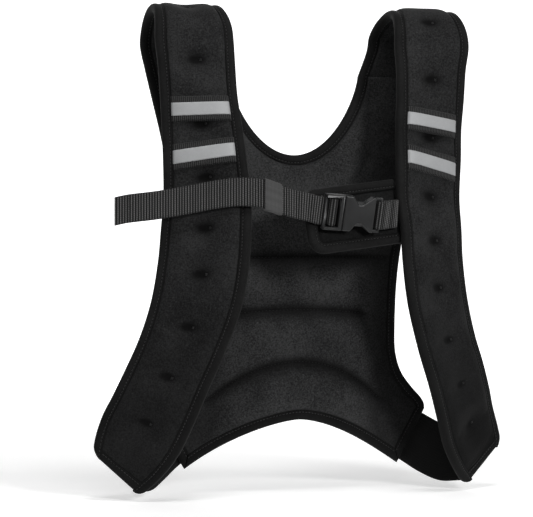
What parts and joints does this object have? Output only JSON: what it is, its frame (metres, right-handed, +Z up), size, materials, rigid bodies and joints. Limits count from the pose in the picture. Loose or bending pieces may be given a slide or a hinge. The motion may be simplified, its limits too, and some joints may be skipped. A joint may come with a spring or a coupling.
{
  "type": "weighted vest",
  "caption": "Padded open-front vest with a short back, two long shoulder straps, side bands and a buckled chest strap.",
  "frame": {"origin": "shoulder seat: midway between the undersides of the two shoulder arches, at their tops", "axes": "+Z up along the vest, from hem to shoulders; -Y the open front with the chest strap; +X the side of the buckle's fixed half"},
  "size_m": [0.406, 0.1306, 0.4582],
  "materials": {
    "neoprene": "matte",
    "edge_tape": "matte",
    "ribbed_tape": "matte",
    "reflective_film": "satin",
    "webbing": "matte",
    "elastic": "matte",
    "plastic": "satin"
  },
  "bodies": {
    "root": {"back_panel": "neoprene", "shoulder_strap_left": "neoprene", "strap_end_binding_left": "edge_tape", "ribbed_tape_left_upper": "ribbed_tape", "reflective_strip_left_upper": "reflective_film", "ribbed_tape_left_lower": "ribbed_tape", "reflective_strip_left_lower": "reflective_film", "armhole_binding_left": "edge_tape", "side_band_left": "elastic", "shoulder_strap_right": "neoprene", "strap_end_binding_right": "edge_tape", "ribbed_tape_right_upper": "ribbed_tape", "reflective_strip_right_upper": "reflective_film", "ribbed_tape_right_lower": "ribbed_tape", "reflective_strip_right_lower": "reflective_film", "armhole_binding_right": "edge_tape", "side_band_right": "elastic", "neck_binding": "edge_tape", "hem_binding": "edge_tape", "chest_webbing_left": "webbing", "chest_webbing_right": "webbing", "webbing_keeper": "elastic", "buckle_male": "plastic", "buckle_female": "plastic", "buckle_pad": "neoprene", "buckle_pad_binding": "edge_tape"}
  },
  "joints": []
}
